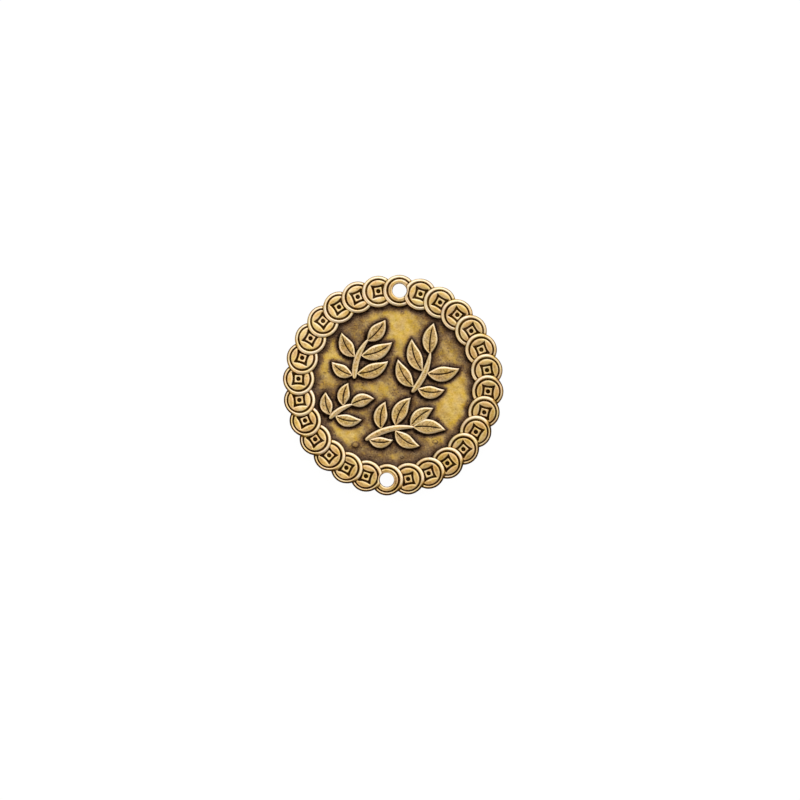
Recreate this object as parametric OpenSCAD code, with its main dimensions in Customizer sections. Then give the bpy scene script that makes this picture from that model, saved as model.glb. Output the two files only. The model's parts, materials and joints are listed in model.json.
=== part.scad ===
// Round brass charm: a field disc ringed by overlapping cash coins, two of them pierced for a cord,
// with four raised leaf sprays on the front. Millimetres, +Z up, lying on its back.

/* [Ring of coins] */
// Diameter of the charm, measured over the coins
charm_d = 31; // [29:0.5:34]
// Diameter of one coin
coin_d = 4.4; // [4.2:0.1:4.6]
// Thickness of one coin between its two faces
coin_t = 2.8; // [2.4:0.1:3.2]
// Lean of each coin, so that its edge lies on the coin before it
coin_lean = 6; // [4:0.5:8]

/* [Coin faces] */
// Width of the raised rim round a coin's face
rim_w = 0.41; // [0.3:0.01:0.46]
// Width of the groove inside the rim
groove_w = 0.22; // [0.14:0.01:0.26]
// Depth of the groove and of the four-pointed recess
relief_d = 0.15; // [0.1:0.01:0.25]
// Distance from the coin's centre to a point of the four-pointed recess
star_r = 1.33; // [1.26:0.01:1.4]
// Side of the small square standing in the recess
square_w = 1.05; // [0.85:0.05:1.1]
// Width of the recess between the middle of the square's side and the petal
moat_w = 0.26; // [0.18:0.01:0.3]
// Diameter of the dimple in the square
dimple_d = 0.56; // [0.4:0.02:0.6]

/* [Cord holes] */
// Diameter of the two through holes
hole_d = 2; // [1.6:0.1:2.2]

/* [Field] */
// Thickness of the field disc
field_t = 1.7; // [1.4:0.1:1.9]
// Depth of the front field below the middle of the coins' faces
front_recess = 0.6; // [0.4:0.05:0.8]

/* [Leaf sprays] */
// Height of the leaves above the front field
leaf_h = 0.66; // [0.5:0.02:0.8]
// Height of the stems above the leaves
stem_rise = 0.06; // [0.02:0.02:0.1]
// Width of the vein cut along each leaf
vein_w = 0.18; // [0.1:0.02:0.26]
// Depth of the vein
vein_d = 0.14; // [0.06:0.02:0.3]
// Turn of the four sprays away from the line through the two holes
spray_turn = 3.8; // [0:0.1:6]

/* [Hidden] */
coin_count = 28;
pierced = [0, 14];
pitch_r = (charm_d - coin_d) / 2;
coin_step = 360 / coin_count;
coin_r = coin_d / 2;
mid_z = coin_t / 2 / cos(coin_lean) + coin_r * tan(coin_lean);
field_top = mid_z + coin_t / 2 - front_recess;
field_bottom = field_top - field_t;
// The field ends where two neighbouring coins' outlines cross on its side.
field_r = pitch_r * cos(coin_step / 2) - sqrt(pow(coin_r, 2) - pow(pitch_r * sin(coin_step / 2), 2));
over = 1;
outline_steps = 12;
// How far a leaf's foot runs into its stem
leaf_tuck = 0.14;
$fn = 96;

// One spray is [name, stem, leaves]. The stem is [foot, tip, bow, half width].
// A leaf is [place along the stem, side (1 left, -1 right, 0 tip), angle, length, half width, bow].
sprays = [
    ["leaf_spray_upper_left", [[-5.4, 0.9], [-3.5, 6.4], 0.10, 0.55], [
        [0.08, 1, 58, 3.6, 0.94, 0.10],
        [0.12, -1, 66, 4.9, 1.06, 0.10],
        [0.50, 1, 48, 4.0, 1.04, 0.10],
        [0.58, -1, 44, 4.9, 1.08, 0.10],
        [1, 0, 0, 4.0, 1.08, -0.06]]],
    ["leaf_spray_upper_right", [[2.6, -1.0], [5.2, 4.6], -0.08, 0.55], [
        [0.12, 1, 68, 4.6, 1.04, 0.10],
        [0.14, -1, 54, 3.9, 0.94, 0.12],
        [0.54, 1, 42, 4.9, 1.08, 0.10],
        [0.54, -1, 58, 4.7, 1.10, 0.10],
        [1, 0, 0, 4.5, 1.10, 0.06]]],
    ["leaf_spray_lower_left", [[-8.9, -4.7], [-5.7, -2.7], 0.08, 0.48], [
        [0.12, 1, 56, 3.4, 0.92, 0.10],
        [0.22, -1, 50, 3.9, 0.90, 0.12],
        [0.68, 1, 52, 3.4, 0.92, 0.10],
        [1, 0, 0, 3.5, 0.98, 0.08]]],
    ["leaf_spray_bottom", [[-3.9, -7.7], [3.0, -5.9], 0.09, 0.56], [
        [0.06, -1, 32, 3.5, 0.82, 0.12],
        [0.36, 1, 60, 4.0, 1.00, 0.10],
        [0.62, -1, 42, 4.2, 1.00, 0.12],
        [0.64, 1, 52, 4.6, 1.10, 0.10],
        [0.92, 1, 40, 4.2, 1.00, 0.08],
        [1, 0, 0, 4.7, 1.08, 0.06]]]
];

function two_digits(k) = k < 10 ? str("0", k) : str(k);
function is_pierced(k) = k == pierced[0] || k == pierced[1];
function coin_name(k) = k == pierced[0] ? "cord_coin_top"
    : k == pierced[1] ? "cord_coin_bottom" : str("rim_coin_", two_digits(k));

// Puts its children at the place of coin k, counted clockwise from +Y, with local +Y pointing outwards.
module at_coin(k) rotate([0, 0, -k * coin_step]) translate([0, pitch_r, 0]) children();

// A coin's plain outline, standing upright from z = low to z = high.
module coin_blank(low, high) translate([0, 0, low]) cylinder(r = coin_r, h = high - low);

// Each side of the four-pointed recess is an arc through two of its points that leaves moat_w beside the square.
star_mid = square_w / 2 + moat_w;
star_half = star_r * sin(45);
star_arc_r = (pow(star_half, 2) + pow(star_half - star_mid, 2)) / (2 * (star_half - star_mid));

// The four-pointed recess with sides that bow inwards, as a flat shape.
module star() difference() {
    circle(r = star_r, $fn = 4);
    for (q = [45 : 90 : 315]) rotate(q) translate([star_mid + star_arc_r, 0]) circle(r = star_arc_r);
}

// What is cut from one face of a coin, whose plane is z = 0.
module face_relief(k) {
    rim_in = coin_r - rim_w;
    translate([0, 0, -relief_d]) difference() {
        cylinder(r = rim_in, h = relief_d + over);
        translate([0, 0, -over]) cylinder(r = rim_in - groove_w, h = relief_d + 3 * over);
    }
    if (!is_pierced(k)) {
        translate([0, 0, -relief_d]) linear_extrude(relief_d + over) rotate(45) difference() {
            star();
            rotate(45) square(square_w, center = true);
        }
        translate([0, 0, -2 * relief_d]) cylinder(d = dimple_d, h = 2 * relief_d + over);
    }
}

// One coin: leaning faces with relief on both sides, half-lapped into its two neighbours.
module coin(k) color("goldenrod") difference() {
    at_coin(k) difference() {
        coin_blank(-over, 2 * mid_z + over);
        for (side = [0, 180]) translate([0, 0, mid_z]) rotate([0, side, 0]) rotate([0, coin_lean, 0])
            translate([0, 0, coin_t / 2]) {
                translate([-2 * coin_r, -2 * coin_r, 0]) cube([4 * coin_r, 4 * coin_r, 2 * coin_t]);
                face_relief(k);
            }
    }
    at_coin(k + 1) coin_blank(mid_z, 2 * mid_z + 2 * over);
    at_coin(k - 1) coin_blank(-2 * over, mid_z);
    cord_holes();
}

// The two through holes.
module cord_holes() for (k = pierced) at_coin(k)
    translate([0, 0, -over]) cylinder(d = hole_d, h = 2 * mid_z + 2 * over);

// The disc that the coins stand round, with an edge that takes their outlines.
module field_disc() color("darkgoldenrod") difference() {
    translate([0, 0, field_bottom]) cylinder(r = field_r, h = field_t);
    for (k = [0 : coin_count - 1]) at_coin(k) coin_blank(-over, 2 * mid_z + over);
}

function left_of(v) = [-v[1], v[0]];
function turned(v, a) = v * cos(a) + left_of(v) * sin(a);
// A middle line is [foot, tip, bow]: a point on it at the share s of its length, and its direction there.
function line_point(m, s) = m[0] + (m[1] - m[0]) * s + left_of(m[1] - m[0]) * 4 * m[2] * s * (1 - s);
function line_way(m, s) = let (v = m[1] - m[0] + left_of(m[1] - m[0]) * 4 * m[2] * (1 - 2 * s)) v / norm(v);
// Shares of a line's length, closer together towards both ends.
function shares(low, high) = [for (i = [0 : outline_steps])
    low + (high - low) * (1 - cos(180 * i / outline_steps)) / 2];

function leaf_half(half, s) = half * sin(180 * pow(s, 0.86));
function stem_half(half, s) = half * (1 - 0.35 * s) * pow(max(0, sin(180 * s)), 0.3);
function vein_half(s) = vein_w / 2 * max(0, sin(180 * (s - vein_from) / (vein_to - vein_from)));
vein_from = 0.12;
vein_to = 0.86;

// The middle line of one leaf on a stem, starting just inside the stem's edge.
function leaf_line(stem, leaf) =
    let (way = line_way(stem, leaf[0]))
    let (edge = leaf[1] * (stem_half(stem[3], leaf[0]) - leaf_tuck))
    let (aim = turned(way, leaf[1] * leaf[2]))
    let (foot = line_point(stem, leaf[0]) + left_of(way) * edge - (leaf[1] == 0 ? aim * 2 * leaf_tuck : [0, 0]))
    [foot, foot + aim * leaf[3], leaf[1] == 0 ? leaf[5] : leaf[1] * leaf[5]];

// A flat outline round a middle line: along its right side to the tip and back along its left side.
module outline(m, s, half) polygon(concat(
    [for (i = [0 : outline_steps]) line_point(m, s[i]) - left_of(line_way(m, s[i])) * half[i]],
    [for (i = [outline_steps - 1 : -1 : 1]) line_point(m, s[i]) + left_of(line_way(m, s[i])) * half[i]]));

// One spray: a stem and its leaves standing on the field, with a vein cut along each leaf.
module leaf_spray(spray) color("goldenrod") rotate([0, 0, spray_turn]) translate([0, 0, field_top]) {
    stem = spray[1];
    whole = shares(0, 1);
    vein = shares(vein_from, vein_to);
    linear_extrude(leaf_h + stem_rise) outline(stem, whole, [for (s = whole) stem_half(stem[3], s)]);
    difference() {
        for (leaf = spray[2]) linear_extrude(leaf_h)
            outline(leaf_line(stem, leaf), whole, [for (s = whole) leaf_half(leaf[4], s)]);
        for (leaf = spray[2]) translate([0, 0, leaf_h - vein_d]) linear_extrude(vein_d + over)
            outline(leaf_line(stem, leaf), vein, [for (s = vein) vein_half(s)]);
    }
}

field_disc();
for (k = [0 : coin_count - 1]) coin(k);
for (spray = sprays) leaf_spray(spray);
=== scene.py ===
import json
import math

import bpy
import numpy as np
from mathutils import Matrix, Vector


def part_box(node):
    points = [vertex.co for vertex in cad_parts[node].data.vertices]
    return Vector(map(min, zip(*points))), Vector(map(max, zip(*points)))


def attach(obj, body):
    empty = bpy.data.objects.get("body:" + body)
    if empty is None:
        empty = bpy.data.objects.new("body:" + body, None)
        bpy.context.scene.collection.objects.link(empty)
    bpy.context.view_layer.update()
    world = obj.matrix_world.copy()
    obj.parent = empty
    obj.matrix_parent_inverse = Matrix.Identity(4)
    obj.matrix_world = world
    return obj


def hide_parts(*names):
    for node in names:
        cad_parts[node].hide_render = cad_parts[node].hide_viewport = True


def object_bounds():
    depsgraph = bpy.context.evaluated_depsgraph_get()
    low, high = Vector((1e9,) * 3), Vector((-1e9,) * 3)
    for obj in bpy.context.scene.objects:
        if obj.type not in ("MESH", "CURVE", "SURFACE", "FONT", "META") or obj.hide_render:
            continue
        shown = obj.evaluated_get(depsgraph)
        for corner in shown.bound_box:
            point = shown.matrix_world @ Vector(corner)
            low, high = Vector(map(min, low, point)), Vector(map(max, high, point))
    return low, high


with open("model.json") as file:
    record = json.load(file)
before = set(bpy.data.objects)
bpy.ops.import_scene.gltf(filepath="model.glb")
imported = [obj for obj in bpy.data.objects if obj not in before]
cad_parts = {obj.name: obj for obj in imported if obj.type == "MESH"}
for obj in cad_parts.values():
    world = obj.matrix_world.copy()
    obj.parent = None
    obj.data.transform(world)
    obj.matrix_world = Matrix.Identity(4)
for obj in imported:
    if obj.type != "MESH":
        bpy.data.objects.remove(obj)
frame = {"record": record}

cad_box = [list(corner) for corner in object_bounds()]


# ---- Leaf sprays ----
# Four raised sprays of leaves, cast in one with the field and about as high as the coins. The charm was
# darkened all over and then polished on a wheel, which rubbed the leaves' edges bright and left the ground
# beside them dark. The bright edges also carry a painted highlight, and a shadow is painted on the field just
# below and to the left of the leaves.

# Sizes are in millimetres, and the meshes in metres.
MM = 0.001
field_low, field_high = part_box("field_disc")
spray_low, spray_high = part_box("leaf_spray_bottom")
field_top = field_high.z / MM
stem_h = (spray_high.z - spray_low.z) / MM
STEM_RISE = 0.06
leaf_h = stem_h - STEM_RISE
SPRAY_TURN = math.radians(3.8)
# How far a leaf's foot runs into its stem, and a whole spray into the field.
LEAF_TUCK = 0.14
SPRAY_TUCK = 0.05
# The side of a leaf or stem is a steep wall and then a shoulder. A quarter of an ellipse takes these shares
# of the shoulder's width and rise, and a slope between these shares of the width takes the rest of the rise.
WALL_W = 0.03
SHOULDER_W, SHOULDER_H = 0.38, 0.30
ROUND_W, ROUND_RISE = 0.3, 0.68
SLOPE_FROM, SLOPE_TO = 0.05, 0.90
# How rubbed a leaf is at its foot, on its edge and on its satin top, and how much less in its veins. The edge
# is partly rubbed bright and partly a painted highlight.
FOOT_RUB, EDGE_RUB_AND_HIGHLIGHT, TOP_RUB = 0.04, 1.00, 0.58
VEIN_DARK, SIDE_VEIN_DARK = 0.45, 0.10
# The vein along a leaf, and the faint ones beside it, which run this far to the tip for each step outwards.
VEIN_DEPTH, VEIN_WIDTH = 0.13, 0.075
SIDE_VEIN_DEPTH, SIDE_VEIN_WIDTH, SIDE_VEIN_GAP = 0.022, 0.06, 0.62
SIDE_VEIN_SLANT = 0.75
# The grid of a strip: rows along it, columns over each half, and how much those crowd at the vein and edge.
LEAF_ROWS, STEM_ROWS, HALF_COLUMNS = 88, 48, 20
CROWDING = 0.13

# A spray is its stem and its leaves. A stem is (foot, tip, bow, half width). A leaf is (place along the stem,
# side with 1 left, -1 right and 0 tip, angle, length, half width, bow).
SPRAYS = {
    "leaf_spray_upper_left": (((-5.4, 0.9), (-3.5, 6.4), 0.10, 0.55), [
        (0.08, 1, 58, 3.6, 0.94, 0.10),
        (0.12, -1, 66, 4.9, 1.06, 0.10),
        (0.50, 1, 48, 4.0, 1.04, 0.10),
        (0.58, -1, 44, 4.9, 1.08, 0.10),
        (1, 0, 0, 4.0, 1.08, -0.06),
    ]),
    "leaf_spray_upper_right": (((2.6, -1.0), (5.2, 4.6), -0.08, 0.55), [
        (0.12, 1, 68, 4.6, 1.04, 0.10),
        (0.14, -1, 54, 3.9, 0.94, 0.12),
        (0.54, 1, 42, 4.9, 1.08, 0.10),
        (0.54, -1, 58, 4.7, 1.10, 0.10),
        (1, 0, 0, 4.5, 1.10, 0.06),
    ]),
    "leaf_spray_lower_left": (((-8.9, -4.7), (-5.7, -2.7), 0.08, 0.48), [
        (0.12, 1, 56, 3.4, 0.92, 0.10),
        (0.22, -1, 50, 3.9, 0.90, 0.12),
        (0.68, 1, 52, 3.4, 0.92, 0.10),
        (1, 0, 0, 3.5, 0.98, 0.08),
    ]),
    "leaf_spray_bottom": (((-3.9, -7.7), (3.0, -5.9), 0.09, 0.56), [
        (0.06, -1, 32, 3.5, 0.82, 0.12),
        (0.36, 1, 60, 4.0, 1.00, 0.10),
        (0.62, -1, 42, 4.2, 1.00, 0.12),
        (0.64, 1, 52, 4.6, 1.10, 0.10),
        (0.92, 1, 40, 4.2, 1.00, 0.08),
        (1, 0, 0, 4.7, 1.08, 0.06),
    ]),
}


def rise(value, start, end):
    """0 below start, 1 above end, and v x v x (3 - 2 v) between, where v is the share of the way."""
    v = np.clip((value - start) / (end - start), 0, 1)
    return v * v * (3 - 2 * v)


def left_of(arrows):
    """The same arrows turned a quarter to the left."""
    return np.stack([-arrows[..., 1], arrows[..., 0]], axis=-1)


def bowed_line(line, share):
    """Points and headings at shares s of a line, which is straight from foot to tip, plus
    4 x bow x s x (1 - s) of its length to the left."""
    foot, tip, bow = np.array(line[0], float), np.array(line[1], float), line[2]
    s = np.asarray(share, float)[..., None]
    run = tip - foot
    points = foot + run * s + left_of(run) * 4 * bow * s * (1 - s)
    heading = run + left_of(run) * 4 * bow * (1 - 2 * s)
    return points, heading / np.linalg.norm(heading, axis=-1)[..., None]


def leaf_half(half, s):
    """Half the width of a leaf: half x sin(pi s^0.86), widest a little nearer the foot."""
    return half * np.maximum(np.sin(np.pi * s ** 0.86), 0)


def stem_half(half, s):
    """Half the width of a stem: half x (1 - 0.35 s) x sin(pi s)^0.3, so it narrows towards the tip and its
    ends are blunt and round."""
    return half * (1 - 0.35 * s) * np.maximum(np.sin(np.pi * s), 0) ** 0.3


def leaf_line(stem, leaf):
    """The middle line of a leaf: from just inside the stem's edge, at the leaf's angle to the stem."""
    place, side, angle, length, _, bow = leaf
    foot, way = bowed_line(stem, place)
    turn = math.radians(side * angle)
    aim = way * math.cos(turn) + left_of(way) * math.sin(turn)
    foot = foot + left_of(way) * side * (stem_half(stem[3], np.float64(place)) - LEAF_TUCK)
    if side == 0:
        foot = foot - aim * 2 * LEAF_TUCK
    return foot, foot + aim * length, bow * (side or 1)


def turned_by(points, turn):
    """Flat points turned about the middle of the charm."""
    return points * math.cos(turn) + left_of(points) * math.sin(turn)


def leaf_veins(line, s, offset, edge):
    """How far into the middle vein and into a side vein each point lies, from 0 to 1. Across a vein that is
    exp(-(distance / width)^2). Side veins repeat along the leaf at even gaps and stay off the middle vein and
    the shoulder. All veins fade out towards the foot and the tip."""
    along = s * np.linalg.norm(np.array(line[1]) - np.array(line[0]))
    fade = rise(s, 0, 0.12) * (1 - rise(s, 0.7, 0.9))
    middle_vein = np.exp(-(offset / VEIN_WIDTH) ** 2) * fade
    gaps = (along - SIDE_VEIN_SLANT * np.abs(offset)) / SIDE_VEIN_GAP
    to_side_vein = (gaps - np.round(gaps)) * SIDE_VEIN_GAP
    side_vein = np.exp(-(to_side_vein / SIDE_VEIN_WIDTH) ** 2) * fade
    side_vein = side_vein * rise(np.abs(offset), 0.06, 0.16) * rise(edge, 0.7, 1)
    return middle_vein, side_vein


def raised_strip(line, half, widths, top, veined):
    """The skin of a leaf or a stem. Rows run along the middle line, closer together at its ends, where they
    shrink to a point. Columns run over the top from right to left and back underneath. From the edge inwards
    the skin climbs the wall and then the shoulder. A leaf has its veins cut into it."""
    rows = LEAF_ROWS if veined else STEM_ROWS
    s = (1 - np.cos(np.pi * np.arange(rows + 1) / rows)) / 2
    t = np.linspace(0, 1, HALF_COLUMNS + 1)
    t = t - CROWDING * np.sin(2 * np.pi * t)
    across = np.concatenate([-t[::-1], t[1:]])
    under = np.array([0.6, 0, -0.6])
    middle, heading = bowed_line(line, s)
    half_width = widths(half, s)[:, None]
    offset = np.concatenate([across, under])[None, :] * half_width
    inwards = half_width - np.abs(offset)
    edge = np.clip(inwards / SHOULDER_W, 0, 1)
    round_part = np.sqrt(1 - (1 - np.clip(edge / ROUND_W, 0, 1)) ** 2)
    shoulder = ROUND_RISE * round_part + (1 - ROUND_RISE) * rise(edge, SLOPE_FROM, SLOPE_TO)
    height = (top - SHOULDER_H) * rise(inwards, 0, WALL_W) + SHOULDER_H * shoulder
    # The shoulder is brighter than the satin top: partly wear, partly a painted highlight.
    rub = FOOT_RUB + (EDGE_RUB_AND_HIGHLIGHT - FOOT_RUB) * rise(edge, 0.02, 0.16)
    rub = rub - (EDGE_RUB_AND_HIGHLIGHT - TOP_RUB) * rise(edge, 0.56, 0.86)
    if veined:
        middle_vein, side_vein = leaf_veins(line, s[:, None], offset, edge)
        height = height - VEIN_DEPTH * middle_vein - SIDE_VEIN_DEPTH * side_vein
        rub = rub - VEIN_DARK * middle_vein - SIDE_VEIN_DARK * side_vein
    height[:, len(across):] = -SPRAY_TUCK
    rub[:, len(across):] = 0
    flat = middle[:, None, :] + left_of(heading)[:, None, :] * offset[..., None]
    flat = turned_by(flat, SPRAY_TURN)
    return np.concatenate([flat, (field_top + height)[..., None], rub[..., None]], axis=-1)


def cast_piece(name, sheets, material, ring=False):
    """One closed mesh from sheets of (x, y, z, wear and painted light) in millimetres. A sheet's columns run
    round and meet. Its rows run from one point to another, or with ring they too run round and meet. The last
    value is kept as an attribute, 0 dark and 1 bright, from wear together with painted shade and painted
    highlight."""
    corners, quads, fans, start = [], [], [], 0
    for sheet in sheets:
        body = sheet if ring else sheet[1:-1]
        rows, columns = body.shape[:2]
        index = start + np.arange(rows * columns).reshape(rows, columns)
        corners.append(body.reshape(-1, 4))
        start += rows * columns
        if ring:
            index = np.vstack([index, index[:1]])
        else:
            corners.append(sheet[[0, -1], 0])
            first, last = np.full(columns, start), np.full(columns, start + 1)
            fans.append(np.stack([first, index[0], np.roll(index[0], -1)], axis=-1))
            fans.append(np.stack([index[-1], last, np.roll(index[-1], -1)], axis=-1))
            start += 2
        low, high = index[:-1], index[1:]
        quad = np.stack([low, high, np.roll(high, -1, axis=1), np.roll(low, -1, axis=1)], axis=-1)
        quads.append(quad.reshape(-1, 4))
    corners = np.concatenate(corners)
    faces = [face for block in quads + fans for face in block.tolist()]
    mesh = bpy.data.meshes.new(name)
    mesh.from_pydata((corners[:, :3] * MM).tolist(), [], faces)
    rub = mesh.attributes.new("rub", "FLOAT", "POINT")
    rub.data.foreach_set("value", np.clip(corners[:, 3], 0, 1))
    mesh.shade_smooth()
    piece = bpy.data.objects.new(name, mesh)
    bpy.context.scene.collection.objects.link(piece)
    mesh.materials.append(material)
    return piece


def set_stops(ramp, stops):
    """Gives a colour ramp its stops, each a place from 0 to 1 and a colour."""
    for place, _ in stops[2:]:
        ramp.color_ramp.elements.new(place)
    for stop, (place, colour) in zip(ramp.color_ramp.elements, stops):
        stop.position = place
        stop.color = (*colour, 1)


def antiqued_brass(name, tones, blotch, speck, pit, hues, roughness, bump):
    """Cast brass, darkened and rubbed back. The attribute of wear, painted shade and painted highlight,
    shifted by blotches, specks, rare dark pits and fine bright scratches, picks the colour from dark to
    bright tones and the roughness from dull to bright. The colour's hue and depth drift over the surface, and
    a fine grain and slow swells dent it. A noise's scale is in waves to the metre, so 1500 gives marks about
    0.7 mm wide."""
    material = bpy.data.materials.new(name)
    material.use_nodes = True
    nodes, links = material.node_tree.nodes, material.node_tree.links
    shader = nodes["Principled BSDF"]
    place = nodes.new("ShaderNodeTexCoord")
    rub = nodes.new("ShaderNodeAttribute")
    rub.attribute_name = "rub"

    def noise(scale, detail, gain, where=place.outputs["Object"]):
        """A noise of this scale, with detail finer octaves, each one gain as strong as the last."""
        texture = nodes.new("ShaderNodeTexNoise")
        texture.inputs["Scale"].default_value = scale
        texture.inputs["Detail"].default_value = detail
        texture.inputs["Roughness"].default_value = gain
        links.new(where, texture.inputs["Vector"])
        return texture.outputs["Fac"]

    def spread(value, low, high, to_low, to_high):
        """The value's range from low to high carried over to another range."""
        node = nodes.new("ShaderNodeMapRange")
        node.inputs["From Min"].default_value = low
        node.inputs["From Max"].default_value = high
        node.inputs["To Min"].default_value = to_low
        node.inputs["To Max"].default_value = to_high
        links.new(value, node.inputs["Value"])
        return node.outputs["Result"]

    def add(first, second):
        """The sum of two values."""
        node = nodes.new("ShaderNodeMath")
        node.operation = "ADD"
        links.new(first, node.inputs[0])
        links.new(second, node.inputs[1])
        return node.outputs["Value"]

    # The scratches all run one way, and are 16 times as long as they are wide.
    stretch = nodes.new("ShaderNodeMapping")
    stretch.inputs["Rotation"].default_value = (0, 0, math.radians(-38))
    stretch.inputs["Scale"].default_value = (1, 16, 16)
    links.new(place.outputs["Object"], stretch.inputs["Vector"])
    scratch_noise = noise(scale=800, detail=1, gain=0.4, where=stretch.outputs["Vector"])
    scratches = spread(scratch_noise, 0.66, 0.74, 0, 0.16)
    blotches = spread(noise(scale=1500, detail=3, gain=0.55), 0.3, 0.7, -blotch, blotch)
    specks = spread(noise(scale=4800, detail=4, gain=0.65), 0.3, 0.7, -speck, speck)
    pits = spread(noise(scale=3600, detail=2, gain=0.5), 0.62, 0.72, 0, -pit)
    marked_wear_and_light = rub.outputs["Fac"]
    for marks in (blotches, specks, pits, scratches):
        marked_wear_and_light = add(marked_wear_and_light, marks)

    ramp = nodes.new("ShaderNodeValToRGB")
    set_stops(ramp, tones)
    links.new(marked_wear_and_light, ramp.inputs["Fac"])
    drift = nodes.new("ShaderNodeHueSaturation")
    hue = spread(noise(scale=800, detail=3, gain=0.6), 0.3, 0.7, hues[0], hues[1])
    depth = spread(noise(scale=1150, detail=2, gain=0.5), 0.3, 0.7, 0.90, 1.10)
    links.new(hue, drift.inputs["Hue"])
    links.new(depth, drift.inputs["Saturation"])
    links.new(ramp.outputs["Color"], drift.inputs["Color"])
    links.new(drift.outputs["Color"], shader.inputs["Base Color"])
    shader.inputs["Metallic"].default_value = 1
    # A dark tint keeps the patina from turning white where it is seen aslant.
    shader.inputs["Specular Tint"].default_value = (0.34, 0.22, 0.12, 1)
    links.new(spread(marked_wear_and_light, 0, 1, roughness[0], roughness[1]), shader.inputs["Roughness"])

    grain = noise(scale=9000, detail=3, gain=0.6)
    swells = spread(noise(scale=1500, detail=2, gain=0.5), 0, 1, 0, 3)
    dent = nodes.new("ShaderNodeBump")
    dent.inputs["Strength"].default_value = 1
    dent.inputs["Distance"].default_value = bump * MM
    links.new(add(grain, swells), dent.inputs["Height"])
    links.new(dent.outputs["Normal"], shader.inputs["Normal"])
    return material


# The relief's tones from dark to bright. The palest is partly polished brass and partly a painted highlight,
# paler than the brass.
RELIEF_TONES = [
    (0.00, (0.014, 0.007, 0.003)),
    (0.20, (0.075, 0.040, 0.014)),
    (0.42, (0.310, 0.195, 0.070)),
    (0.60, (0.660, 0.445, 0.160)),
    (0.80, (0.890, 0.650, 0.310)),
    (1.00, (0.990, 0.790, 0.490)),
]
relief_brass = antiqued_brass(
    "relief_brass", RELIEF_TONES, blotch=0.09, speck=0.14, pit=0.26, hues=(0.489, 0.505),
    roughness=(0.55, 0.26), bump=0.016,
)

# Every stem and leaf as (middle line, half width, how its width runs), which the field needs too.
spray_strips = []
for spray_name, (stem, leaves) in SPRAYS.items():
    skins = [raised_strip(stem[:3], stem[3], stem_half, stem_h, veined=False)]
    spray_strips.append((stem[:3], stem[3], stem_half))
    for leaf in leaves:
        line = leaf_line(stem, leaf)
        skins.append(raised_strip(line, leaf[4], leaf_half, leaf_h, veined=True))
        spray_strips.append((line, leaf[4], leaf_half))
    spray = cast_piece("cast_" + spray_name, skins, relief_brass)
    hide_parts(spray_name)
    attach(spray, "root")


# ---- Field disc ----
# The sunk disc that the sprays stand on, cast brass. It is darkest beside the coins and the leaves, where no
# polishing wheel reaches, and rubbed yellow in the open between them. A shadow is painted on it just below
# and to the left of the coins and leaves, and a ring of painted shade lies on each bead. Its edge runs in
# under the coins.

coin_low, coin_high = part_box("cord_coin_top")
COIN_COUNT = 28
COIN_STEP = 2 * math.pi / COIN_COUNT
coin_r = (coin_high.y - coin_low.y) / 2 / MM
pitch_r = (coin_high.y + coin_low.y) / 2 / MM
field_bottom = field_low.z / MM
EDGE_TUCK = 0.12
FIELD_COLUMNS, FRONT_ROWS, BACK_ROWS = COIN_COUNT * 16, 96, 26
# How far the field swells and sinks.
UNEVEN = 0.03
# How rubbed the field is at the least, and how much more in the open and on its golden patches.
GROUND_RUB, OPEN_RUB, GOLD_RUB = 0.31, 0.18, 0.44
# How much darker it is all round the coins and leaves, where patina sits, and how much darker again in a
# painted shadow just below and to the left of them, and how many millimetres each reaches.
FOOT_DARK, FOOT_REACH = 0.16, 0.18
PAINTED_SHADOW_DARK, PAINTED_SHADOW_REACH = 0.26, 0.26
# Casting beads on the field: x, y, radius and height.
BEADS = [
    (-4.7, -8.7, 0.56, 0.20),
    (6.4, -7.5, 0.36, 0.14),
    (1.9, -10.0, 0.22, 0.10),
    (6.6, -4.4, 0.26, 0.09),
    (0.6, 10.2, 0.24, 0.10),
    (-9.7, 1.2, 0.20, 0.08),
    (0.2, -0.6, 0.14, 0.07),
]
# Open stretches that are rubbed to gold: x, y, half width, half height and how much.
GOLD_PATCHES = [
    (0.5, 8.4, 2.6, 3.0, 1.0),
    (-8.9, 2.8, 2.0, 3.2, 0.9),
    (-2.4, -1.0, 3.2, 1.7, 0.6),
    (8.5, -1.6, 2.7, 4.3, 1.0),
    (-6.4, -6.6, 2.7, 2.8, 1.0),
    (1.0, 3.4, 1.8, 2.8, 0.4),
    (6.0, -6.9, 1.9, 1.6, 0.6),
    (-3.4, 9.2, 1.7, 1.4, 0.6),
    (7.4, 5.4, 1.7, 2.1, 0.4),
    (0.9, -10.0, 1.3, 0.8, 0.5),
]


def ray_to_circle(angle, centre_x, centre_y, radius):
    """How far a ray from the middle runs before it meets a circle, or infinity where it misses."""
    along = centre_x * np.cos(angle) + centre_y * np.sin(angle)
    across = centre_y * np.cos(angle) - centre_x * np.sin(angle)
    reach = radius ** 2 - across ** 2
    return np.where((reach > 0) & (along > 0), along - np.sqrt(np.maximum(reach, 0)), np.inf)


def off_the_coins(x, y):
    """Distance from points of the field to the nearest coin's outline."""
    turn = np.round(np.arctan2(x, y) / COIN_STEP) * COIN_STEP
    return np.hypot(x - pitch_r * np.sin(turn), y - pitch_r * np.cos(turn)) - coin_r


def off_the_leaves(x, y):
    """Distance from points of the field to the nearest leaf's or stem's outline, less than 0 under one."""
    nearest = np.full(x.shape, 9.0)
    s = np.linspace(0, 1, 26)
    for line, half, widths in spray_strips:
        middle = turned_by(bowed_line(line, s)[0], SPRAY_TURN)
        gap = np.hypot(x[..., None] - middle[:, 0], y[..., None] - middle[:, 1]) - widths(half, s)
        nearest = np.minimum(nearest, gap.min(axis=-1))
    return nearest


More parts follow.
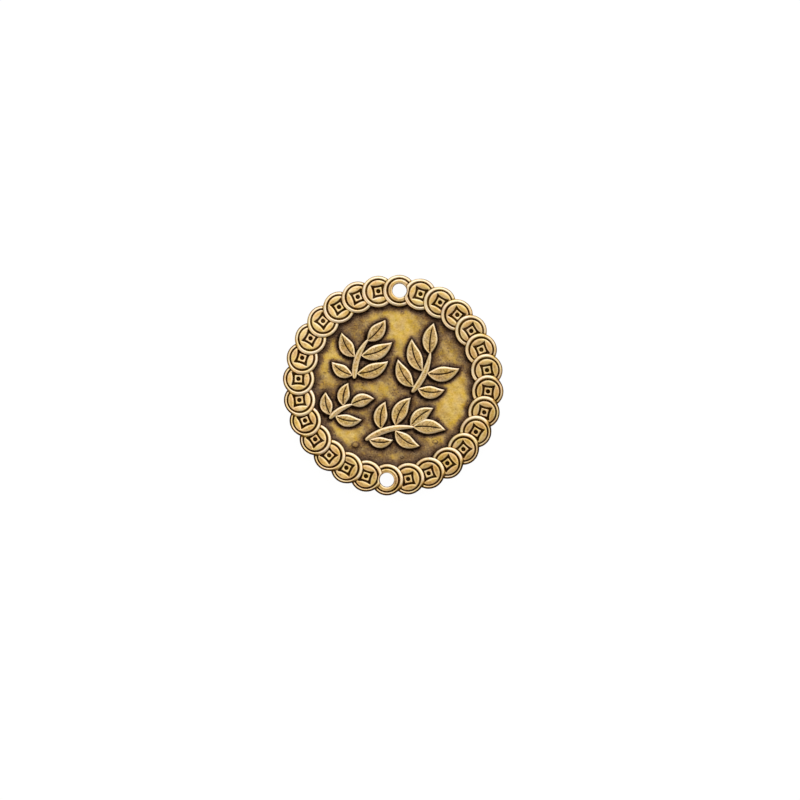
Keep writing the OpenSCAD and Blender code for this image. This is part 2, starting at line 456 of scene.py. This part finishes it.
def slow_waves(x, y):
    """Gentle unevenness between about -1 and 1: three crossed sine waves a few millimetres long."""
    return (np.sin(1.3 * x + 0.7 * y) + np.sin(2.1 * y - 0.9 * x + 1.0) + np.sin(3.4 * x + 2.6 * y + 2.0)) / 3


def fading(distance, reach):
    """1 at a wall and exp(-distance / reach) away from it."""
    return np.exp(-np.maximum(distance, 0) / reach)


def fillet(distance, height, width, most):
    """How far a fillet climbs beside a wall: height x v^2, where v is 1 - distance / width, from 0 up to
    most, which it reaches under the wall."""
    return height * np.clip(1 - distance / width, 0, most) ** 2


def field_edge(angle):
    """How far the disc reaches along each ray: to the nearest coin's outline and a little way in under it."""
    edge = np.full(angle.shape, np.inf)
    for k in range(COIN_COUNT):
        centre_x, centre_y = pitch_r * math.sin(k * COIN_STEP), pitch_r * math.cos(k * COIN_STEP)
        edge = np.minimum(edge, ray_to_circle(angle, centre_x, centre_y, coin_r - EDGE_TUCK))
    return edge


def field_front(x, y):
    """Height and rub of the front, with painted shadow and shade in it. Slow waves run over the ground, it
    climbs in a fillet at the coins and at the leaves, with a low uneven step before the coins, and the beads
    are rounded cones.
    Each gold patch is a bell, exp(-(x / half width)^2 - (y / half height)^2). A shadow is painted just below
    and to the left of the coins and leaves, and a ring of painted shade lies on each bead's slope."""
    coins, leaves = off_the_coins(x, y), off_the_leaves(x, y)
    height = field_top + UNEVEN * slow_waves(x, y) - UNEVEN
    height = height + fillet(coins, height=0.16, width=0.28, most=1.4)
    height = height + fillet(leaves, height=0.14, width=0.22, most=1)
    step_edge = 0.36 + 0.06 * slow_waves(2 * y, 2 * x)
    height = height + 0.10 * (1 - rise(coins, step_edge, step_edge + 0.10))
    beads = np.zeros(x.shape)
    for bead_x, bead_y, bead_r, bead_h in BEADS:
        bead = 1 - rise(np.hypot(x - bead_x, (y - bead_y) * 1.3), 0.4 * bead_r, 1.4 * bead_r)
        height = height + bead_h * bead
        beads = beads + bead
    patches = np.zeros(x.shape)
    for patch_x, patch_y, half_w, half_h, strength in GOLD_PATCHES:
        patches = patches + strength * np.exp(-((x - patch_x) / half_w) ** 2 - ((y - patch_y) / half_h) ** 2)
    open_ground = rise(leaves, -0.05, 0.80) * rise(coins, 0.15, 1.30)
    gold = rise(patches + 0.16 * slow_waves(x + 3, y - 2), 0.12, 0.92) * open_ground
    # A painted shadow: the coins' and leaves' outlines moved down and to the left, with darkness fading from
    # them.
    shadow_gap = np.minimum(off_the_leaves(x + 0.12, y + 0.24), off_the_coins(x + 0.08, y + 0.20))
    patina_and_shadow = FOOT_DARK * fading(np.minimum(coins, leaves), FOOT_REACH) + PAINTED_SHADOW_DARK * fading(shadow_gap, PAINTED_SHADOW_REACH)
    # Patina at the foot of the coins and leaves, the painted shadow, and a painted ring of shade on each
    # bead's slope darken the ground.
    rub = GROUND_RUB + OPEN_RUB * open_ground + GOLD_RUB * gold - patina_and_shadow - beads * (1 - beads)
    return height, rub


def field_back(x, y):
    """Height and rub of the plain back, which is uneven, drops in a fillet at the coins and is dark there."""
    coins = off_the_coins(x, y)
    height = field_bottom + UNEVEN + UNEVEN * slow_waves(x - 5, y + 4)
    height = height - fillet(coins, height=0.12, width=0.4, most=1.3)
    rub = 0.62 - 0.60 * fading(coins, 1.1) + 0.10 * slow_waves(x * 0.7, y * 0.7)
    return height, rub


def field_skin():
    """The disc's skin. Rows run from the middle of the front out to the edge, where the rays meet the coins,
    and back to the middle of the back."""
    angle = np.arange(FIELD_COLUMNS) * 2 * np.pi / FIELD_COLUMNS
    edge = field_edge(angle)
    out = np.concatenate([np.linspace(0, 1, FRONT_ROWS), np.linspace(1, 0, BACK_ROWS)])[:, None] * edge
    x, y = out * np.cos(angle), out * np.sin(angle)
    front = field_front(x[:FRONT_ROWS], y[:FRONT_ROWS])
    back = field_back(x[FRONT_ROWS:], y[FRONT_ROWS:])
    height, rub = np.concatenate([front, back], axis=1)
    return np.stack([x, y, height, rub], axis=-1)


FIELD_TONES = [
    (0.00, (0.012, 0.006, 0.003)),
    (0.22, (0.100, 0.056, 0.032)),
    (0.45, (0.270, 0.165, 0.072)),
    (0.65, (0.540, 0.350, 0.096)),
    (0.85, (0.685, 0.458, 0.112)),
    (1.00, (0.790, 0.548, 0.165)),
]
field_brass = antiqued_brass(
    "field_brass", FIELD_TONES, blotch=0.06, speck=0.13, pit=0.26, hues=(0.493, 0.503),
    roughness=(0.60, 0.36), bump=0.022,
)
field = cast_piece("cast_field_disc", [field_skin()], field_brass)
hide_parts("field_disc")
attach(field, "root")


# ---- Coins of the ring ----
# Small cash coins, each leaning on the one before it going clockwise. Both faces have a raised rim, a groove,
# four petals, and a four-pointed recess with a dimpled square in it. They are cast in one with the field.

mid_z = (cad_box[0][2] + cad_box[1][2]) / 2 / MM
LEAN = math.radians(6)
face_rise = mid_z - coin_r * math.tan(LEAN)
# Where the next coin's middle lies from a coin's own, x clockwise and y outwards.
NEXT_X, NEXT_Y = pitch_r * math.sin(COIN_STEP), -pitch_r * (1 - math.cos(COIN_STEP))
hole_r = next(m for m in frame["record"]["mounts"] if m["name"] == "cord_hole_top")["dims"]["r_mm"]
PIERCED = {0: "cord_coin_top", 14: "cord_coin_bottom"}
COLUMNS = 96
# The disc inside the groove, the dimple and the square.
DISC_R = 1.57
DIMPLE_R = 0.28
SQUARE_HALF = 0.525
# Each side of the recess is an arc about a point on one of the coin's own axes, through two of its four
# corners, and leaves the moat's width beside the square. The corners end on a circle, which moves outside by
# a share of the distance.
STAR_R, MOAT_W = 1.33, 0.26
STAR_TIP, TIP_SHARE = 1.34, 0.35
star_half = STAR_R * math.sin(math.radians(45))
star_bow = star_half - SQUARE_HALF - MOAT_W
star_arc_r = (star_half ** 2 + star_bow ** 2) / (2 * star_bow)
star_arc_at = SQUARE_HALF + MOAT_W + star_arc_r
# Where the petals begin outside the recess and end inside the disc's edge.
PETAL_FROM, PETAL_TO = 0.20, -0.16

# The rows of a coin's face, from the middle out: the outline that each follows, how far outside it (for a
# petal, the share of the way over it), the height above the face, and how rubbed it is. The brightest rows,
# on the rim and the bevelled edges, take the palest tone, which is partly a painted highlight.
INNER_ROWS = [
    ("dimple", -DIMPLE_R, -0.30, 0.04),
    ("dimple", -0.17, -0.29, 0.04),
    ("dimple", -0.08, -0.25, 0.05),
    ("dimple", -0.02, -0.13, 0.15),
    ("dimple", 0.02, -0.04, 0.50),
    ("dimple", 0.055, -0.008, 0.78),
    ("square", -0.10, 0.00, 0.78),
    ("square", -0.05, -0.010, 0.88),
    ("square", -0.01, -0.05, 0.60),
    ("square", 0.02, -0.12, 0.15),
    ("square", 0.05, -0.165, 0.03),
    ("star", -0.07, -0.17, 0.02),
    ("star", -0.03, -0.14, 0.08),
    ("star", 0.00, -0.07, 0.45),
    ("star", 0.04, -0.018, 0.88),
    ("star", 0.10, 0.000, 0.86),
    ("star", PETAL_FROM, 0.004, 0.77),
    ("petal", 0.33, 0.004, 0.74),
    ("petal", 0.67, 0.004, 0.74),
]
OUTER_ROWS = [
    ("disc", PETAL_TO, 0.004, 0.77),
    ("disc", -0.09, 0.000, 0.82),
    ("disc", -0.045, -0.014, 0.86),
    ("disc", -0.01, -0.05, 0.55),
    ("disc", 0.02, -0.110, 0.14),
    ("disc", 0.06, -0.145, 0.06),
    ("disc", 0.14, -0.145, 0.06),
    ("disc", 0.175, -0.110, 0.14),
    ("disc", 0.205, -0.055, 0.42),
    ("disc", 0.24, -0.010, 0.84),
    ("disc", 0.28, 0.014, 0.93),
    ("disc", 0.33, 0.018, 0.94),
    ("disc", 0.38, 0.008, 0.96),
    ("disc", 0.43, -0.014, 1.00),
    ("disc", 0.48, -0.043, 1.00),
    ("disc", 0.53, -0.085, 0.90),
    ("disc", 0.57, -0.14, 0.74),
]
# The coin's flank, down to the parting line half way: distance outside the disc, share of the way down, rub.
FLANK_ROWS = [
    (0.59, 0.06, 0.46),
    (0.605, 0.14, 0.28),
    (0.615, 0.28, 0.18),
    (0.622, 0.50, 0.16),
    (0.627, 0.76, 0.16),
    (0.63, 1.00, 0.16),
]
# How far a coin's face spreads past its outline on the raised side and towards the field, and how far it
# draws in on the outside of the ring.
SIDE_SPREAD, FIELD_SPREAD, DRAFT = 0.16, 0.11, 0.04
# How far the petals swell, over what width, and how much less they are rubbed than their edges.
PETAL_RISE, PETAL_EDGE_W, PETAL_DARK = 0.034, 0.34, 0.12
# How far a coin's relief may be turned about its middle and how much its depth may vary, from coin to coin.
TWIST, DEPTH_VARIES = math.radians(2.5), 0.12


def outline_reach(outline, outside, angle):
    """How far each outline of the face lies from the coin's middle along a ray, moved outside by a distance:
    a circle for the dimple and disc, a square, or the near sides of four circles for the recess. A petal's
    rows lie between those of the recess and the disc, at a share of the way."""
    if outline == "petal":
        inner, outer = outline_reach("star", PETAL_FROM, angle), outline_reach("disc", PETAL_TO, angle)
        return inner + (outer - inner) * outside
    if outline == "dimple":
        return np.full(angle.shape, DIMPLE_R + outside)
    if outline == "disc":
        return np.full(angle.shape, DISC_R + outside)
    corner = np.mod(angle + np.pi / 4, np.pi / 2) - np.pi / 4
    if outline == "square":
        return (SQUARE_HALF + outside) / np.cos(corner)
    side = ray_to_circle(corner, star_arc_at, 0, star_arc_r - outside)
    side = np.minimum(side, star_arc_at * np.cos(corner))
    return np.minimum(side, STAR_TIP + TIP_SHARE * outside)


def coin_outline(angle, down, hole_x, side):
    """How far the coin's outer edge lies from its middle along a ray. The face spreads by the square of the
    cosine on the raised side and by the sine towards the field, and draws in by the sine on the outside. All
    of that fades out down the flank. A pierced neighbour's hole cuts the edge."""
    raised = SIDE_SPREAD * np.clip(-np.cos(angle), 0, 1) ** 2
    inner = FIELD_SPREAD * np.clip(-np.sin(angle), 0, 1)
    outer = DRAFT * np.clip(np.sin(angle), 0, 1)
    edge = coin_r + (raised + inner - outer) * (1 - down)
    if hole_x:
        edge = np.minimum(edge, ray_to_circle(angle, hole_x * side * NEXT_X, NEXT_Y, hole_r))
    return edge


def coin_wear_and_shade(k, rub, x, y, reach):
    """How rubbed coin k is in the end, with painted shade and a painted shadow added. Slow sine waves shift
    that a little, and the coins lower in the ring are painted a little darker as shade. Painted shade
    blackens the outer edge, most on the lowest coins and least on the topmost. A shadow is painted where the
    next coin lies over it."""
    height_in_ring = math.cos(k * COIN_STEP)
    # Slow waves, and painted shade a little darker on the coins lower in the ring.
    rub = rub + 0.05 * np.sin(1.7 * x + 1.3 * y + 2.7 * k) - 0.04 * (1 - height_in_ring)
    # Painted shade on the outer edge, darkest on the lowest coins.
    painted_edge_shade = np.clip(0.75 - 0.65 * height_in_ring, 0, 1)
    painted_edge_shade_from = coin_r - 0.25 + 0.05 * height_in_ring
    outwards = rise(1.5 * y / coin_r, 0.1, 1.1)
    rub = rub * (1 - painted_edge_shade * outwards * rise(reach, painted_edge_shade_from, painted_edge_shade_from + 0.10))
    # A painted shadow beside the next coin, where it lies over this one.
    painted_shadow_under_next = 1 - rise(np.hypot(x - NEXT_X, y - NEXT_Y), coin_r + 0.02, coin_r + 0.24)
    return rub * (1 - 0.92 * painted_shadow_under_next)


def coin_face(k, inner_rows, hole_x, side):
    """One face of coin k as rows of (x, y, z, wear with painted shade and highlight) about the coin's own
    middle, x clockwise and y outwards.
    The back is the front turned half round about y. hole_x says on which side, if any, a pierced neighbour's
    hole cuts the edge, and there the rim is squeezed. Under the next coin the face drops to the parting
    line."""
    angle = np.arange(COLUMNS) * 2 * np.pi / COLUMNS
    rows = [(*row, 0) for row in inner_rows + OUTER_ROWS]
    lowest = rows[-1][2]
    rows += [("disc", outside, lowest, rub, down) for outside, down, rub in FLANK_ROWS]
    reach = np.stack([outline_reach(row[0], row[1], angle) for row in rows])
    height, rub, down = np.array([row[2:] for row in rows]).T[..., None]
    edge = coin_outline(angle, down, hole_x, side)
    squeezed = DISC_R + (reach - DISC_R) * (edge - DISC_R) / (coin_r - DISC_R)
    reach = np.where(reach > DISC_R, squeezed, reach)
    twist = TWIST * math.sin(2.4 * k + side) * (1 - (reach / coin_r) ** 3)
    x, y = reach * np.cos(angle + twist), reach * np.sin(angle + twist)
    petals_from = hole_r if k in PIERCED else outline_reach("star", 0, angle)
    swell = rise(np.minimum(reach - petals_from, DISC_R - reach), 0, PETAL_EDGE_W)
    height = height * (1 + DEPTH_VARIES * math.sin(1.7 * k + 2 * side)) + PETAL_RISE * swell
    z = (face_rise - x * math.tan(LEAN) + height) * (1 - down)
    z = z * rise(np.hypot(x - NEXT_X, y - NEXT_Y), coin_r - 0.28, coin_r - 0.18)
    rub = coin_wear_and_shade(k, rub - PETAL_DARK * swell, x, y, reach)
    return np.stack([side * x, y, mid_z + side * z, rub], axis=-1)


def set_in_ring(sheet, k):
    """Moves a coin from its own middle to place k, counted clockwise from the top."""
    turn = k * COIN_STEP
    out = sheet[..., 1] + pitch_r
    x = sheet[..., 0] * math.cos(turn) + out * math.sin(turn)
    y = out * math.cos(turn) - sheet[..., 0] * math.sin(turn)
    return np.stack([x, y, sheet[..., 2], sheet[..., 3]], axis=-1)


def both_faces(k, inner_rows, hole_x):
    """The front's rows, then the back's from the parting line in, with the columns matched up."""
    front = coin_face(k, inner_rows, hole_x, 1)
    back = coin_face(k, inner_rows, hole_x, -1)
    same_place = (COLUMNS // 2 - np.arange(COLUMNS)) % COLUMNS
    return front, back[:, same_place][::-1][1:]


# The coins' tones from dark to bright. The palest is partly polished brass and partly a painted highlight,
# paler than the brass.
COIN_TONES = [
    (0.00, (0.034, 0.014, 0.002)),
    (0.20, (0.128, 0.066, 0.013)),
    (0.42, (0.370, 0.215, 0.062)),
    (0.60, (0.780, 0.510, 0.175)),
    (0.80, (0.935, 0.685, 0.335)),
    (1.00, (1.000, 0.820, 0.560)),
]
coin_brass = antiqued_brass(
    "coin_brass", COIN_TONES, blotch=0.06, speck=0.06, pit=0.14, hues=(0.486, 0.512),
    roughness=(0.52, 0.23), bump=0.010,
)

for k in range(COIN_COUNT):
    if k in PIERCED:
        continue
    hole_x = ((k + 1) % COIN_COUNT in PIERCED) - (k - 1 in PIERCED)
    skin = set_in_ring(np.concatenate(both_faces(k, INNER_ROWS, hole_x)), k)
    coin = cast_piece(f"cast_coin_{k:02d}", [skin], coin_brass)
    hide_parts(f"rim_coin_{k:02d}")
    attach(coin, "root")


# ---- Pierced coins ----
# The topmost and lowest coins have no petals: a plain ring inside the groove, and a hole right through for
# the cord. The hole's mouth is rubbed round, and the hole nicks the edge of the coin that lies over it.

# The hole's edge, as a distance outside the disc, and the rows and rub of its wall.
MOUTH = hole_r - DISC_R
BORE_ROWS, BORE_RUB = 6, 0.40
PIERCED_ROWS = [
    ("disc", MOUTH, -0.10, 0.45),
    ("disc", MOUTH + 0.025, -0.035, 0.90),
    ("disc", MOUTH + 0.07, -0.006, 1.00),
    ("disc", MOUTH + 0.14, 0.004, 0.80),
    ("disc", MOUTH + 0.26, 0.010, 0.66),
    ("disc", -0.23, 0.014, 0.62),
]
for k, node in PIERCED.items():
    front, back = both_faces(k, PIERCED_ROWS, 0)
    climb = np.linspace(0, 1, BORE_ROWS + 2)[1:-1, None, None]
    bore = back[-1] * (1 - climb) + front[0] * climb
    bore[..., 3] = BORE_RUB
    skin = set_in_ring(np.concatenate([front, back, bore]), k)
    coin = cast_piece("cast_" + node, [skin], coin_brass, ring=True)
    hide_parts(node)
    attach(coin, "root")


# ---- Floor, light and camera ----
# The charm lies on a white sheet lit from below, in a cloth tent. The tent glows brightest and a little blue
# towards the top of the charm, dim and warm on the far side, and a lamp shows through it at the lower left.

FLOOR_HALF = 0.9
FLOOR_GREY, FLOOR_GLOW = 0.06, 0.96
floor_mesh = bpy.data.meshes.new("floor")
floor_corners = [(x * FLOOR_HALF, y * FLOOR_HALF, 0) for x, y in ((-1, -1), (1, -1), (1, 1), (-1, 1))]
floor_mesh.from_pydata(floor_corners, [], [(0, 1, 2, 3)])
floor = bpy.data.objects.new("floor", floor_mesh)
bpy.context.scene.collection.objects.link(floor)
floor_white = bpy.data.materials.new("floor_white")
floor_white.use_nodes = True
sheet = floor_white.node_tree.nodes["Principled BSDF"]
sheet.inputs["Base Color"].default_value = (FLOOR_GREY, FLOOR_GREY, FLOOR_GREY, 1)
sheet.inputs["Roughness"].default_value = 0.9
sheet.inputs["Emission Color"].default_value = (1, 1, 1, 1)
sheet.inputs["Emission Strength"].default_value = FLOOR_GLOW
floor_mesh.materials.append(floor_white)

# The tent's two glows: the way to the middle of each, and its colour against how nearly a direction points
# there, from 0 at a right angle to 1 straight at it.
TENT = [
    ((0.20, 0.72, 0.66), [
        (0.00, (0.34, 0.32, 0.29)),
        (0.46, (0.64, 0.62, 0.58)),
        (0.66, (0.96, 0.95, 0.92)),
        (0.80, (1.20, 1.22, 1.27)),
        (0.90, (1.30, 1.36, 1.50)),
        (1.00, (1.36, 1.44, 1.70)),
    ]),
    ((-0.62, -0.55, 0.56), [
        (0.00, (0, 0, 0)),
        (0.76, (0, 0, 0)),
        (0.86, (0.16, 0.15, 0.12)),
        (0.94, (0.52, 0.48, 0.40)),
        (1.00, (0.68, 0.62, 0.52)),
    ]),
]
world = bpy.data.worlds.new("light_tent")
bpy.context.scene.world = world
world.use_nodes = True
tent_nodes, tent_links = world.node_tree.nodes, world.node_tree.links
direction = tent_nodes.new("ShaderNodeTexCoord")
together = tent_nodes.new("ShaderNodeVectorMath")
for slot, (way, glow) in enumerate(TENT):
    facing = tent_nodes.new("ShaderNodeVectorMath")
    facing.operation = "DOT_PRODUCT"
    facing.inputs[1].default_value = way
    tent_links.new(direction.outputs["Generated"], facing.inputs[0])
    ramp = tent_nodes.new("ShaderNodeValToRGB")
    set_stops(ramp, glow)
    tent_links.new(facing.outputs["Value"], ramp.inputs["Fac"])
    tent_links.new(ramp.outputs["Color"], together.inputs[slot])
tent_links.new(together.outputs["Vector"], tent_nodes["Background"].inputs["Color"])

# The camera looks straight down. The view is this wide at the height of the charm's middle, it is turned, and
# its centre lies to the right of the charm's and below it.
VIEW_W = 112.2
SENSOR, LENS = 36, 200
TURN = math.radians(3.83)
AIM_RIGHT, AIM_DOWN = 0.954, 2.076
camera_data = bpy.data.cameras.new("camera")
camera_data.sensor_width = SENSOR
camera_data.lens = LENS
camera = bpy.data.objects.new("camera", camera_data)
bpy.context.scene.collection.objects.link(camera)
camera.location = (
    (AIM_RIGHT * math.cos(TURN) + AIM_DOWN * math.sin(TURN)) * MM,
    (AIM_RIGHT * math.sin(TURN) - AIM_DOWN * math.cos(TURN)) * MM,
    (mid_z + VIEW_W * LENS / SENSOR) * MM,
)
camera.rotation_euler = (0, 0, TURN)
bpy.context.scene.camera = camera
bpy.context.scene.view_settings.view_transform = "Standard"
